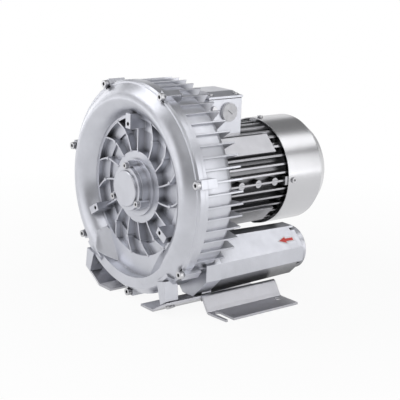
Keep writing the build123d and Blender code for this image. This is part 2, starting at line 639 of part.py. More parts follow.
def bearing_rings(bore, outer, width, y, inner_play, outer_play):
    """Inner and outer ring of a ball bearing, with round grooves."""
    pitch, ball = bearing_sizes(bore, outer)
    groove = Torus(pitch, ball + BEARING_GAP)
    groove = Pos(0, y + width / 2, 0) * Rot(90, 0, 0) * groove
    land = ball * 0.45
    inner = ring(pitch - land, bore + inner_play, y, y + width) - groove
    outer_ring = ring(outer - outer_play, pitch + land, y, y + width) - groove
    return inner, outer_ring


def bearing_sizes(bore, outer):
    pitch = (bore + outer) / 2
    return pitch, (outer - bore) * 0.3


def ball_set(bore, outer, width, y):
    """Balls and the cage that keeps them apart."""
    pitch, ball = bearing_sizes(bore, outer)
    x_ball = Pos(pitch, y + width / 2, 0) * Sphere(ball)
    cage = ring(pitch + ball * 0.25, pitch - ball * 0.25, y + width / 2 - ball * 0.7, y + width / 2 + ball * 0.7)
    return joined(cage, around(x_ball, BALL_COUNT))


def cooling_fan():
    hub = ring(16, FAN_SEAT + FIT_GAP, FAN_FRONT_Y, FAN_REAR_Y)
    plate = ring(FAN_RADIUS - 8, 15, FAN_FRONT_Y + 6, FAN_FRONT_Y + 8.5)
    blade = block(15, FAN_RADIUS, FAN_FRONT_Y + 7, FAN_REAR_Y, -1.2, 1.2)
    return joined(hub + plate, around(blade, FAN_BLADES))


def fan_ring():
    return ring(FAN_SEAT + 4, FAN_SEAT + FIT_GAP, FAN_REAR_Y, FAN_REAR_Y + 1.5)


# ---- fan cover ----------------------------------------------------------------------------------------
def fan_cover():
    wall = FAN_COVER_WALL
    outer, rear_radius = FAN_COVER_RADIUS, FAN_COVER_REAR_RADIUS
    front, shoulder, rear = FAN_COVER_FRONT_Y, FAN_COVER_SHOULDER_Y, FAN_COVER_REAR_Y
    shell = turned((outer, front), (outer, shoulder), (rear_radius, rear), (0, rear),
                   (0, rear - wall), (rear_radius - 0.7, rear - wall), (outer - wall, shoulder - 0.6),
                   (outer - wall, front))
    for radius in (18.0, 28.0, 38.0, 48.0, 58.0):
        for i in range(4):
            arc = turned((radius - 3, rear - wall - 1), (radius + 3, rear - wall - 1), (radius + 3, rear + 1),
                         (radius - 3, rear + 1), start=90 * i + 6, sweep=78)
            shell -= arc
    for angle in (0, 90, 180, 270):
        hole = Pos(outer - 5, COVER_SCREW_Y, 0) * Rot(0, 0, -90) * disc(2.2 + FIT_GAP, 0, 10)
        shell -= turn(hole, angle)
    return shell


def fan_cover_screws():
    screw = socket_screw(12, 2.0, 4.0, 2.6)
    place = Pos(FAN_COVER_RADIUS, COVER_SCREW_Y, 0) * Rot(0, 0, 90)
    return [turn(place * screw, angle) for angle in (0, 90, 180, 270)]


# ---- terminal box -------------------------------------------------------------------------------------
def terminal_box_base():
    half, wall = BOX_HALF_WIDTH, BOX_WALL
    box = block(-half, half, BOX_FRONT_Y, BOX_REAR_Y, BOX_BOTTOM_Z, BOX_RIM_Z)
    box -= block(-half + wall, half - wall, BOX_FRONT_Y + wall, BOX_REAR_Y - wall, BOX_BOTTOM_Z + wall, BOX_RIM_Z + 1)
    for x, y in lid_screw_places():
        box += Pos(x, y, BOX_BOTTOM_Z + wall) * Cylinder(5, BOX_RIM_Z - BOX_BOTTOM_Z - wall,
                                                          align=(Align.CENTER, Align.CENTER, Align.MIN))
    for x, y in lid_screw_places():
        box -= Pos(x, y, BOX_RIM_Z - 14) * Cylinder(2.0 + FIT_GAP, 20, align=(Align.CENTER, Align.CENTER, Align.MIN))
    for side in (1, -1):
        box -= Pos(side * half, PLUG_Y, PLUG_Z) * Rot(0, 90, 0) * Cylinder(9 + FIT_GAP, 4 * wall)
    box -= Pos(half, EARTH_Y, EARTH_Z) * Rot(0, 90, 0) * Cylinder(2.0 + FIT_GAP, 4 * wall)
    return box


def lid_screw_places():
    inset = BOX_WALL + 4
    return [(x * (BOX_HALF_WIDTH - inset), y) for x in (1, -1) for y in (BOX_FRONT_Y + inset, BOX_REAR_Y - inset)]


def terminal_box_gasket():
    half, wall = BOX_HALF_WIDTH, BOX_WALL
    sheet = block(-half + 0.5, half - 0.5, BOX_FRONT_Y + 0.5, BOX_REAR_Y - 0.5, BOX_RIM_Z, BOX_RIM_Z + 1)
    opening = block(-half + wall, half - wall, BOX_FRONT_Y + wall, BOX_REAR_Y - wall, BOX_RIM_Z - 1, BOX_RIM_Z + 2)
    for x, y in lid_screw_places():
        opening -= Pos(x, y, BOX_RIM_Z) * Cylinder(5, 6)
    sheet -= opening
    for x, y in lid_screw_places():
        sheet -= Pos(x, y, BOX_RIM_Z) * Cylinder(2.0 + 2 * FIT_GAP, 6)
    return sheet


def terminal_box_lid():
    bottom = BOX_RIM_Z + 1
    half = BOX_HALF_WIDTH + 1
    rim = block(-half, half, BOX_FRONT_Y - 1, BOX_REAR_Y + 1, bottom, bottom + LID_RIM_THICK)
    middle_y = (BOX_FRONT_Y + BOX_REAR_Y) / 2
    length = BOX_REAR_Y - BOX_FRONT_Y
    low = Plane(origin=(0, middle_y, bottom + LID_RIM_THICK)) * Rectangle(2 * half - 4, length - 2)
    high = Plane(origin=(0, middle_y, LID_TOP_Z)) * Rectangle(2 * LID_TOP_HALF_WIDTH, length - 12)
    lid = rim + loft([low, high])
    lid -= block(-LID_TOP_HALF_WIDTH, LID_TOP_HALF_WIDTH, BOX_FRONT_Y + 8, BOX_REAR_Y - 8, bottom - 1, LID_TOP_Z - 2.5)
    for x, y in lid_screw_places():
        lid -= Pos(x, y, bottom + LID_RIM_THICK) * Cylinder(4.2, 20, align=(Align.CENTER, Align.CENTER, Align.MIN))
        lid -= Pos(x, y, bottom) * Cylinder(2.0 + 2 * FIT_GAP, 30)
    return lid


def terminal_lid_screws():
    screw = Rot(-90, 0, 0) * socket_screw(14, 2.0, 3.8, 3)
    return [Pos(x, y, BOX_RIM_Z + 1 + LID_RIM_THICK) * screw for x, y in lid_screw_places()]


def blanking_plugs():
    slot = block(-5, 5, -5, -2.5, -0.8, 0.8)
    plug = disc(PLUG_RADIUS, -4, 0) + disc(9, 0, BOX_WALL + 2) - Rot(0, 35, 0) * slot
    right = Pos(BOX_HALF_WIDTH, PLUG_Y, PLUG_Z) * Rot(0, 0, 90) * plug
    return [right, mirrored(right)]


def earth_screw():
    screw = hex_screw(5.5, 2.0, 7, 3)
    return Pos(BOX_HALF_WIDTH, EARTH_Y, EARTH_Z) * Rot(0, 0, 90) * screw


def terminal_board():
    z = BOX_BOTTOM_Z + BOX_WALL
    return block(-20, 20, BOX_FRONT_Y + 14, BOX_REAR_Y - 14, z, z + 8)


def terminal_studs():
    studs = []
    z = BOX_BOTTOM_Z + BOX_WALL + 8
    for x in (-13, 0, 13):
        for y in (BOX_FRONT_Y + 21, BOX_REAR_Y - 21):
            stud = Pos(x, y, z) * (Cylinder(2, 12, align=(Align.CENTER, Align.CENTER, Align.MIN))
                                   + Cylinder(3.6, 3, align=(Align.CENTER, Align.CENTER, Align.MIN)))
            studs.append(stud)
    return studs


# ---- silencers ----------------------------------------------------------------------------------------
def silencer_casing():
    """Right silencer casing: eight-sided, narrower towards the back, open at both ends."""
    front, rear = SILENCER_FRONT_Y, SILENCER_REAR_Y
    side_rear = SILENCER_SIDE * SILENCER_REAR_HALF / SILENCER_HALF

    def section(half, side, y):
        return make_face(Polyline(*[(x, y, z) for x, z in octagon(half, side)], close=True))

    def inner_side(side):
        return side - 2 * SILENCER_WALL * tan(radians(22.5))

    outer = loft([section(SILENCER_HALF, SILENCER_SIDE, front), section(SILENCER_REAR_HALF, side_rear, rear)])
    wall = SILENCER_WALL
    inner = loft([section(SILENCER_HALF - wall, inner_side(SILENCER_SIDE), front + 6),
                  section(SILENCER_REAR_HALF - wall, inner_side(side_rear), rear + 1)])
    return outer - inner - disc(SILENCER_BORE, front - 1, front + 8, SILENCER_X, SILENCER_Z)


def silencer_liner():
    rear_side = SILENCER_SIDE * SILENCER_REAR_HALF / SILENCER_HALF
    slant = (SILENCER_REAR_HALF + rear_side / 2) / 2 ** 0.5
    return ring(slant - SILENCER_WALL - FIT_GAP, SILENCER_BORE, SILENCER_FRONT_Y + 6, SILENCER_REAR_Y,
                SILENCER_X, SILENCER_Z)


def silencer_end_cap():
    rear_side = SILENCER_SIDE * SILENCER_REAR_HALF / SILENCER_HALF
    y = SILENCER_REAR_Y
    cap = upright(octagon(SILENCER_REAR_HALF, rear_side), y, y + 8)
    cap += disc(PORT_COLLAR, y + 8, y + CAP_DEPTH, SILENCER_X, SILENCER_Z)
    cap -= disc(PORT_RADIUS, y - 1, y + CAP_DEPTH + 1, SILENCER_X, SILENCER_Z)
    for x, z in silencer_screw_places():
        cap -= disc(2.5 + FIT_GAP, y - 1, y + 9, x, z)
    return cap


def silencer_screw_places():
    r = SILENCER_REAR_HALF * 0.93
    return [(SILENCER_X + r * cos(radians(a)), SILENCER_Z + r * sin(radians(a))) for a in (-22.5, 67.5, 157.5, 247.5)]


def both_sides(shape):
    return [shape, mirrored(shape)]


# ---- assembly -----------------------------------------------------------------------------------------
def nodes():
    front = (FRONT_BEARING_BORE, FRONT_BEARING_OUTER, FRONT_BEARING_WIDTH, FRONT_BEARING_Y)
    rear = (REAR_BEARING_BORE, REAR_BEARING_OUTER, REAR_BEARING_WIDTH, REAR_BEARING_Y)
    front_inner, front_outer = bearing_rings(*front, BEARING_GAP / 2, BEARING_GAP / 2)
    rear_inner, rear_outer = bearing_rings(*rear, BEARING_GAP / 2, BEARING_GAP / 2)
    return {
        "front_cover": front_cover(),
        "front_bearing_cap": front_bearing_cap(),
        "front_cap_screws": front_cap_screws(),
        "cover_screws": cover_screws(),
        "impeller_housing": impeller_housing(),
        "motor_housing": motor_housing(),
        "stator_core": stator_core(),
        "stator_winding": stator_winding(),
        "rear_end_shield": rear_end_shield(),
        "motor_tie_bolts": motor_tie_bolts(),
        "fan_cover": fan_cover(),
        "fan_cover_screws": fan_cover_screws(),
        "terminal_box_base": terminal_box_base(),
        "terminal_box_gasket": terminal_box_gasket(),
        "terminal_box_lid": terminal_box_lid(),
        "terminal_lid_screws": terminal_lid_screws(),
        "blanking_plugs": blanking_plugs(),
        "earth_screw": earth_screw(),
        "terminal_board": terminal_board(),
        "terminal_studs": terminal_studs(),
        "outlet_silencer": silencer_casing(),
        "inlet_silencer": mirrored(silencer_casing()),
        "silencer_liners": both_sides(silencer_liner()),
        "outlet_end_cap": silencer_end_cap(),
        "inlet_end_cap": mirrored(silencer_end_cap()),
        "right_foot_plate": foot_plate(),
        "left_foot_plate": mirrored(foot_plate()),
        "foot_screws": foot_screws(),
        "front_bearing_outer_ring": front_outer,
        "rear_bearing_outer_ring": rear_outer,
        "shaft": shaft(),
        "impeller": impeller(),
        "impeller_key": impeller_key(),
        "impeller_spacer": impeller_spacer(),
        "rotor_core": rotor_core(),
        "front_bearing_inner_ring": front_inner,
        "rear_bearing_inner_ring": rear_inner,
        "cooling_fan": cooling_fan(),
        "fan_ring": fan_ring(),
        "front_ball_set": ball_set(*front),
        "rear_ball_set": ball_set(*rear),
    }


def main():
    os.makedirs("parts", exist_ok=True)
    for name, made in nodes().items():
        shape = Compound(children=[placed(s) for s in made]) if isinstance(made, list) else placed(made)
        export_step(shape, f"parts/{name}.step")


main()
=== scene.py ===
"""Side channel blower: finishes, floor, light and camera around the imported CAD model. Lengths in metres.

The front cover and the impeller housing are forms made here in the model's own millimetres, in place of their
CAD nodes. Their inner faces are plain, and they have no holes for the blower's own screws. The printed flow
arrow is made here too.
"""
import json
import math

import bmesh
import bpy
from mathutils import Matrix, Vector

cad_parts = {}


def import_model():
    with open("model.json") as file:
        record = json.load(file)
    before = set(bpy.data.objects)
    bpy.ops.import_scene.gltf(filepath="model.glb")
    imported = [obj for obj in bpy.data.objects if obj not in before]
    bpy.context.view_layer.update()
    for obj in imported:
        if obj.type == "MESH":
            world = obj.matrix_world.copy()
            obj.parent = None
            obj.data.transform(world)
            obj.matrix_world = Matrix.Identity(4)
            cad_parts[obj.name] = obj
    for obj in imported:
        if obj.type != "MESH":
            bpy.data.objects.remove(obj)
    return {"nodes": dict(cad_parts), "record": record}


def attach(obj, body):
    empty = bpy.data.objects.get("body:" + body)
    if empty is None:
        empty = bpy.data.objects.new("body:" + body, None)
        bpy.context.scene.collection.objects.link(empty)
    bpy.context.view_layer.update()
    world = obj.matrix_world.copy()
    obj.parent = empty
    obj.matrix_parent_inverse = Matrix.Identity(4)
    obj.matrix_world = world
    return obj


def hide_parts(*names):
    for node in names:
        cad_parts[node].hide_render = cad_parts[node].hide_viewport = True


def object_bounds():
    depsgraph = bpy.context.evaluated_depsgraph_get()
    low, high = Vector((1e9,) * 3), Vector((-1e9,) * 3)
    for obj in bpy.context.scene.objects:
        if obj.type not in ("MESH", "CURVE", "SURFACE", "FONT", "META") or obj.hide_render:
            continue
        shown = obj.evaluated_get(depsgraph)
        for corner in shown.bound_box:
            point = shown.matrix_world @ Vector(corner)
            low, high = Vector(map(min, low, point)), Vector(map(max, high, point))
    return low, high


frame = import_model()
nodes = frame["nodes"]
CAD_LOW, CAD_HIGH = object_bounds()
MM = 0.001

# ---- camera: position and axes in the row frame --------------------------------------------------------
CAMERA_POSITION = Vector((1.1564, -0.9788, 0.4947))
CAMERA_BACK = Vector((0.7546, -0.6092, 0.2438))
CAMERA_RIGHT = Vector((0.6210, 0.7830, 0.0347))
CAMERA_LENS = 99.01           # mm
SENSOR_WIDTH = 36.0           # mm

# ---- finishes ------------------------------------------------------------------------------------------
EDGE_ROUND = 0.7 * MM         # how far the edge wear with its painted highlight and the rounded edge normals reach
BEVEL_SAMPLES = 6
GAP_SAMPLES = 8
GRAIN_SIZE = 0.9 * MM         # grain of a metal skin
GRAIN_DEPTH = 0.1 * MM
FINE_SIZE = 4 * MM            # speckle and blotches in a metal's tone, and patches in its gloss
BLOTCH_SIZE = 35 * MM
GLOSS_SIZE = 12 * MM
MOTTLE_SIZE = 6 * MM          # mottling of plastic and rubber, and patches in their gloss
SHEEN_SIZE = 9 * MM
GAP_CLOSED = 0.18             # open share of the sky below which a face gets its darkest painted shade
GAP_OPEN = 0.75               # and above which it keeps its own
EDGE_SHARP, EDGE_FLAT = 0.80, 0.995           # cosine between rounded and true normal, on edges and flats
STAIN_LIFT = 0.4              # how much lighter clean patches are, as a share of the stain
SPECKLE_TONE = 0.94
# lighter colour of worn edges, partly wear and partly a painted highlight
WORN_AND_HIGHLIGHT_TONE, WORN_AND_HIGHLIGHT_LIFT = 1.18, 0.04
MOTTLE_DARK, MOTTLE_LIGHT = 0.88, 1.08
SHEEN_LESS, SHEEN_MORE = 0.05, 0.08           # how far the roughness of plastic and rubber goes down and up


def node_tree(name):
    """An empty node material with its output and shader."""
    material = bpy.data.materials.new(name)
    material.use_nodes = True
    tree = material.node_tree
    tree.nodes.clear()
    output = tree.nodes.new("ShaderNodeOutputMaterial")
    shader = tree.nodes.new("ShaderNodeBsdfPrincipled")
    tree.links.new(shader.outputs["BSDF"], output.inputs["Surface"])
    return material, tree, shader


def add(tree, kind, **values):
    """A node with socket values given by input name, and properties given with a leading underscore."""
    node = tree.nodes.new(kind)
    for key, value in values.items():
        if key.startswith("_"):
            setattr(node, key[1:], value)
        else:
            node.inputs[key].default_value = value
    return node


def place(tree):
    """Coordinates fixed to the object, in metres."""
    return add(tree, "ShaderNodeTexCoord").outputs["Object"]


def noise(tree, size, detail=3.0, roughness=0.55):
    """Noise with features of about that size."""
    texture = add(tree, "ShaderNodeTexNoise", Scale=1.0 / size, Detail=detail, Roughness=roughness)
    tree.links.new(place(tree), texture.inputs["Vector"])
    return texture.outputs["Fac"]


def spread(tree, value, low, high, low_from=0.3, high_from=0.7):
    """Noise value remapped to a range."""
    remap = add(tree, "ShaderNodeMapRange")
    for key, number in (("From Min", low_from), ("From Max", high_from), ("To Min", low), ("To Max", high)):
        remap.inputs[key].default_value = number
    tree.links.new(value, remap.inputs["Value"])
    return remap.outputs["Result"]


def edge_mask(tree, rounded):
    """1 on sharp edges and 0 on flats: how far the rounded normal leaves the true one."""
    geometry = add(tree, "ShaderNodeNewGeometry")
    dot = add(tree, "ShaderNodeVectorMath", _operation="DOT_PRODUCT")
    tree.links.new(rounded, dot.inputs[0])
    tree.links.new(geometry.outputs["Normal"], dot.inputs[1])
    return spread(tree, dot.outputs["Value"], 1.0, 0.0, EDGE_SHARP, EDGE_FLAT)


def mixed(tree, factor, first, second):
    """Colour mix; the two colours are sockets or plain values."""
    mix = add(tree, "ShaderNodeMix", _data_type="RGBA")
    tree.links.new(factor, mix.inputs["Factor"])
    for socket, colour in (("A", first), ("B", second)):
        target = [s for s in mix.inputs if s.name == socket and s.type == "RGBA"][0]
        if hasattr(colour, "is_linked"):
            tree.links.new(colour, target)
        else:
            target.default_value = (*colour, 1.0)
    return [s for s in mix.outputs if s.type == "RGBA"][0]


def shaded(colour, share, lift=0.0):
    """The colour made darker or lighter, up to white."""
    return tuple(min(1.0, c * share + lift) for c in colour)


def painted_gap_shade(tree, reach, closed, open_at):
    """1 on open faces, down to 0 deep in gaps and undersides, where shade is painted into the colour."""
    occlusion = add(tree, "ShaderNodeAmbientOcclusion", _samples=GAP_SAMPLES, Distance=reach)
    return spread(tree, occlusion.outputs["AO"], 0.0, 1.0, closed, open_at)


def metal(name, colour, roughness, metallic, grain, stain=0.10, edge_wear_and_highlight=0.25, uneven=0.035,
          reach=24 * MM, shade=0.26, closed=GAP_CLOSED, open_at=GAP_OPEN):
    """Satin metal: blotchy tone, fine grain, rounded edges lighter from wear and a painted highlight, and
    painted shade in gaps and undersides.

    reach is the depth that counts as a gap for the painted shade, and shade is the share of the colour left
    at its bottom.
    """
    material, tree, shader = node_tree(name)
    shader.inputs["Metallic"].default_value = metallic
    bevel = add(tree, "ShaderNodeBevel", _samples=BEVEL_SAMPLES, Radius=EDGE_ROUND)
    stained = shaded(colour, 1.0 - stain)
    cleaned = shaded(colour, 1.0 + stain * STAIN_LIFT)
    blotch = spread(tree, noise(tree, BLOTCH_SIZE, 4.0, 0.6), 0.0, 1.0)
    fine = spread(tree, noise(tree, FINE_SIZE), 0.0, 1.0)
    tone = mixed(tree, blotch, stained, cleaned)
    tone = mixed(tree, spread(tree, fine, 0.0, 0.35, 0.0, 1.0), tone, shaded(colour, SPECKLE_TONE))
    # worn edges: sharp edges made lighter, partly by wear and partly as a painted highlight
    edges = edge_mask(tree, bevel.outputs["Normal"])
    worn_edge_light = add(tree, "ShaderNodeMath", _operation="MULTIPLY")
    worn_edge_light.inputs[1].default_value = edge_wear_and_highlight
    tree.links.new(edges, worn_edge_light.inputs[0])
    tone = mixed(tree, worn_edge_light.outputs["Value"], tone, shaded(colour, WORN_AND_HIGHLIGHT_TONE, WORN_AND_HIGHLIGHT_LIFT))
    # painted shade: an occlusion node darkens the colour in gaps and on undersides
    tone = mixed(tree, painted_gap_shade(tree, reach, closed, open_at), shaded(colour, shade), tone)
    tree.links.new(tone, shader.inputs["Base Color"])
    gloss = noise(tree, GLOSS_SIZE, 4.0, 0.6)
    tree.links.new(spread(tree, gloss, roughness - uneven, roughness + uneven), shader.inputs["Roughness"])
    bump = add(tree, "ShaderNodeBump", Strength=grain, Distance=GRAIN_DEPTH)
    tree.links.new(noise(tree, GRAIN_SIZE, 2.0, 0.5), bump.inputs["Height"])
    tree.links.new(bevel.outputs["Normal"], bump.inputs["Normal"])
    tree.links.new(bump.outputs["Normal"], shader.inputs["Normal"])
    return material


def plain(name, colour, roughness, grain=0.1, grain_size=0.6 * MM):
    """Plastic, rubber, foam or print: mottled colour and a fine bumpy skin."""
    material, tree, shader = node_tree(name)
    mottle = spread(tree, noise(tree, MOTTLE_SIZE, 4.0), 0.0, 1.0)
    tone = mixed(tree, mottle, shaded(colour, MOTTLE_DARK), shaded(colour, MOTTLE_LIGHT))
    tree.links.new(tone, shader.inputs["Base Color"])
    sheen = spread(tree, noise(tree, SHEEN_SIZE), roughness - SHEEN_LESS, roughness + SHEEN_MORE)
    tree.links.new(sheen, shader.inputs["Roughness"])
    bump = add(tree, "ShaderNodeBump", Strength=grain, Distance=GRAIN_DEPTH)
    tree.links.new(noise(tree, grain_size, 2.0), bump.inputs["Height"])
    tree.links.new(bump.outputs["Normal"], shader.inputs["Normal"])
    return material


CASTING = {"colour": (0.62, 0.63, 0.68), "roughness": 0.34, "metallic": 0.88, "grain": 0.20}
# reach and shade in each metal set the painted shade in its gaps
FINISHES = {
    "cast_alloy": metal("blasted casting", **CASTING, reach=14 * MM, shade=0.35, edge_wear_and_highlight=0.45),
    "motor_alloy": metal("motor casting", (0.54, 0.54, 0.57), roughness=0.36, metallic=0.85, grain=0.16,
                         shade=0.12),
    "brushed_sheet": metal("fan cover sheet", (0.60, 0.60, 0.62), roughness=0.25, metallic=0.95, grain=0.0,
                           stain=0.02, edge_wear_and_highlight=0.12, uneven=0.01),
    "foot_sheet": metal("foot sheet", (0.62, 0.62, 0.66), roughness=0.33, metallic=0.85, grain=0.06,
                        stain=0.08, reach=20 * MM, shade=0.35),
    "screw_steel": metal("zinc screws", (0.62, 0.62, 0.64), roughness=0.30, metallic=0.95, grain=0.08,
                         stain=0.2, edge_wear_and_highlight=0.35),
    "bright_steel": metal("ground steel", (0.62, 0.62, 0.64), roughness=0.22, metallic=1.0, grain=0.03),
    "bearing_steel": metal("bearing steel", (0.60, 0.60, 0.62), roughness=0.15, metallic=1.0, grain=0.01),
    "lamination": metal("stacked sheet", (0.14, 0.14, 0.15), roughness=0.5, metallic=0.8, grain=0.3),
    "copper_wire": metal("enamelled wire", (0.55, 0.25, 0.12), roughness=0.35, metallic=0.8, grain=0.4),
    "brass": metal("brass", (0.72, 0.55, 0.25), roughness=0.28, metallic=1.0, grain=0.05),
    "seal_rubber": plain("seal rubber", (0.03, 0.03, 0.03), 0.7),
    "grey_plastic": plain("grey plastic", (0.72, 0.72, 0.75), 0.42),
    "dark_plastic": plain("dark plastic", (0.04, 0.04, 0.045), 0.45),
    "liner_foam": plain("liner foam", (0.09, 0.09, 0.10), 0.9, grain=0.6, grain_size=1.5 * MM),
}
# the silencers and their end caps get a painted shade that reaches 70 mm, which darkens their undersides
LOW_NODES = ("outlet_silencer", "inlet_silencer", "outlet_end_cap", "inlet_end_cap")
UNDERSIDE_SHADE_CASTING = metal("blasted casting with painted underside shade", **CASTING, reach=70 * MM, shade=0.08,
                    closed=0.42, open_at=0.88)


def finish_nodes():
    """Each CAD node gets its slot's finish; castings near the ground get the one with painted shade on their
    undersides.
    """
    for part in frame["record"]["subparts"]:
        material = UNDERSIDE_SHADE_CASTING if part["node"] in LOW_NODES else FINISHES[part["material_slot"]]
        mesh = nodes[part["node"]].data
        mesh.materials.clear()
        mesh.materials.append(material)


# ---- closed forms ---------------------------------------------------------------------------------------
# A form is (points, faces) in the model's own millimetres: the shaft axis lies along y, and the front face of
# the cover's rim is at y = 0. SHAFT_ORIGIN takes it to the row frame.
SHAFT_ORIGIN = Vector((0.0, -161.0, 153.0))
TURN_STEP = 3.0               # degrees between the sections of a turned form
SMOOTH_ANGLE = 32.0           # faces that meet at less than this are shaded smooth


def polar(radius, angle):
    return radius * math.cos(math.radians(angle)), radius * math.sin(math.radians(angle))


def turned(profile, start=0.0, sweep=360.0):
    """Closed (radius, y) profile turned about the shaft."""
    full = sweep >= 360.0
    count = round(sweep / TURN_STEP)
    sections = count if full else count + 1
    points = []
    for i in range(sections):
        for radius, y in profile:
            x, z = polar(radius, start + sweep * i / count)
            points.append((x, y, z))
    size = len(profile)
    faces = []
    for i in range(count):
        here, after = i * size, ((i + 1) % sections) * size
        for k in range(size):
            following = (k + 1) % size
            faces.append((here + k, after + k, after + following, here + following))
    if not full:
        faces += [tuple(range(size)), tuple(range(count * size, (count + 1) * size))]
    return points, faces


def ruled(low, high):
    """Solid between two outlines with as many points each."""
    size = len(low)
    faces = [tuple(range(size)), tuple(range(size, 2 * size))]
    faces += [(i, (i + 1) % size, size + (i + 1) % size, size + i) for i in range(size)]
    return low + high, faces


def prism(outline, front, rear):
    """Prism along y with an (x, z) outline."""
    return ruled([(x, front, z) for x, z in outline], [(x, rear, z) for x, z in outline])


def rod(radius, front, rear, x, z, sides=28):
    """Round bar along y."""
    ring = [polar(radius, 360.0 * i / sides) for i in range(sides)]
    return prism([(x + dx, z + dz) for dx, dz in ring], front, rear)


def slab(angle, outline, thick):
    """Plate in the plane through the shaft at that angle, with a (radius, y) outline."""
    side = Vector((-math.sin(math.radians(angle)), 0.0, math.cos(math.radians(angle)))) * thick / 2
    middle = []
    for radius, y in outline:
        x, z = polar(radius, angle)
        middle.append(Vector((x, y, z)))
    return ruled([tuple(point - side) for point in middle], [tuple(point + side) for point in middle])


def box_at(angle, inner, outer, front, rear, thick):
    """Block that reaches outwards from one radius to another."""
    return slab(angle, [(inner, front), (outer, front), (outer, rear), (inner, rear)], thick)


def mirrored(form):
    points, faces = form
    return [(-x, y, z) for x, y, z in points], faces


def through(points, steps):
    """Smooth plane curve through the points (Catmull-Rom), with that many steps between two of them."""
    rail = [Vector(p) for p in (points[0], *points, points[-1])]
    curve = []
    for i in range(1, len(rail) - 2):
        a, b, c, d = rail[i - 1:i + 3]
        for k in range(steps):
            t = k / steps
            linear = (c - a) * t
            square = (2 * a - 5 * b + 4 * c - d) * t * t
            cube = (3 * b - a - 3 * c + d) * t ** 3
            curve.append(tuple(0.5 * (2 * b + linear + square + cube)))
    return curve + [points[-1]]


def scene_object(name, whole):
    """An object in the scene with the faces of a bmesh, which is used up."""
    mesh = bpy.data.meshes.new(name)
    whole.to_mesh(mesh)
    whole.free()
    made = bpy.data.objects.new(name, mesh)
    bpy.context.scene.collection.objects.link(made)
    return made


def solid(name, forms):
    """One object from closed forms, with their faces turned outwards."""
    whole = bmesh.new()
    for points, faces in forms:
        verts = [whole.verts.new((Vector(p) + SHAFT_ORIGIN) * MM) for p in points]
        made = [whole.faces.new([verts[i] for i in face]) for face in faces]
        bmesh.ops.recalc_face_normals(whole, faces=made)
    return scene_object(name, whole)


def merged(name, objects):
    """One object with the faces of several, which are used up."""
    whole = bmesh.new()
    for one in objects:
        whole.from_mesh(one.data)
        bpy.data.objects.remove(one)
    return scene_object(name, whole)


def combine(target, tool, operation):
    """Boolean of two objects; the tool is used up."""
    change = target.modifiers.new("cut", "BOOLEAN")
    change.object = tool
    change.operation = operation
    change.solver = "EXACT"
    change.use_self = True
    bpy.context.view_layer.update()
    evaluated = target.evaluated_get(bpy.context.evaluated_depsgraph_get())
    mesh = bpy.data.meshes.new_from_object(evaluated)
    target.modifiers.clear()
    target.data = mesh
    bpy.data.objects.remove(tool)


def stand_in(made, node, slot_name):
    """The object takes the place of a CAD node that is fixed to the root body."""
    for polygon in made.data.polygons:
        polygon.use_smooth = True
    made.data.set_sharp_from_angle(angle=math.radians(SMOOTH_ANGLE))
    made.data.materials.clear()
    made.data.materials.append(FINISHES[slot_name])
    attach(made, "root")
    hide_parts(node)


# ---- what the cover and the housing share ----------------------------------------------------------------
JOINT_Y = 10.0                # where the cover meets the housing
RIM_RADIUS = 142.4
SCREW_ANGLES = [270.0 + 360.0 * i / 7 for i in range(7)]
EAR_ROOT = 136.5              # boxy ears of the cover screws
EAR_REACH = 149.2
EAR_WIDTH = 12.0
# (x, z) outline of the right foot lug; its bottom ends 1.1 mm short of the foot plate
FOOT_LUG = [(83.0, -136.72), (93.5, -130.54), (90.5, -104.0), (74.0, -108.0)]


def ears(front, rear):
    return [box_at(angle, EAR_ROOT, EAR_REACH, front, rear, EAR_WIDTH) for angle in SCREW_ANGLES]


def foot_lugs(front, rear):
    lug = prism(FOOT_LUG, front, rear)
    return [lug, mirrored(lug)]


# ---- front cover -----------------------------------------------------------------------------------------
BULGE_START, BULGE_SWEEP = -72.0, 315.0       # degrees, from +X towards +Z
BULGE_FOOT = 138.0                            # radius where the bulge leaves the rim
BULGE_STEPS = 5
RIM_ROOT = 136.0
RIM_CHAMFER = 2.5
BAND_START, BAND_SWEEP = 226.0, 88.0          # flat band at the bottom, which runs in under the bulge's ends
LIP_INNER, LIP_OUTER, LIP_FRONT = 92.5, 96.5, 8.0
DISC_FACE, DISC_BACK = 18.2, 20.4
DISC_STEP_RADIUS, DISC_STEP_FACE = 76.0, 15.4
HUB_RADIUS, HUB_FACE = 48.4, 8.0
HUB_STEP_RADIUS, HUB_STEP_FACE = 38.4, 5.0
BOSS_RADIUS, BOSS_FACE = 31.5, -5.0
BEARING_RADIUS, BEARING_REAR = 26.05, 11.6
SHAFT_HOLE = 18.5
BULGE = [(BULGE_FOOT, 0.0), (128.0, -9.0), (119.5, -12.5), (113.0, -10.5), (104.0, -3.5),
         (LIP_OUTER, LIP_FRONT)]
BAND_PROFILE = [(LIP_OUTER, -8.0), (134.0, -8.0), (138.5, -3.0), (140.0, 0.0), (140.0, JOINT_Y),
                (LIP_OUTER, JOINT_Y)]
RIM_PROFILE = [(RIM_ROOT, 0.0), (140.0, 0.0), (RIM_RADIUS, RIM_CHAMFER), (RIM_RADIUS, JOINT_Y),
               (RIM_ROOT, JOINT_Y)]
DISC_PROFILE = [(LIP_INNER, LIP_FRONT), (LIP_OUTER, LIP_FRONT), (LIP_OUTER, DISC_BACK),
                (SHAFT_HOLE, DISC_BACK), (SHAFT_HOLE, BEARING_REAR), (BEARING_RADIUS, BEARING_REAR),
                (BEARING_RADIUS, BOSS_FACE), (BOSS_RADIUS, BOSS_FACE), (BOSS_RADIUS, HUB_STEP_FACE),
                (HUB_STEP_RADIUS, HUB_STEP_FACE), (HUB_STEP_RADIUS, HUB_FACE), (HUB_RADIUS, HUB_FACE),
                (HUB_RADIUS, DISC_FACE), (DISC_STEP_RADIUS, DISC_FACE), (DISC_STEP_RADIUS, DISC_STEP_FACE),
                (LIP_INNER, DISC_STEP_FACE)]

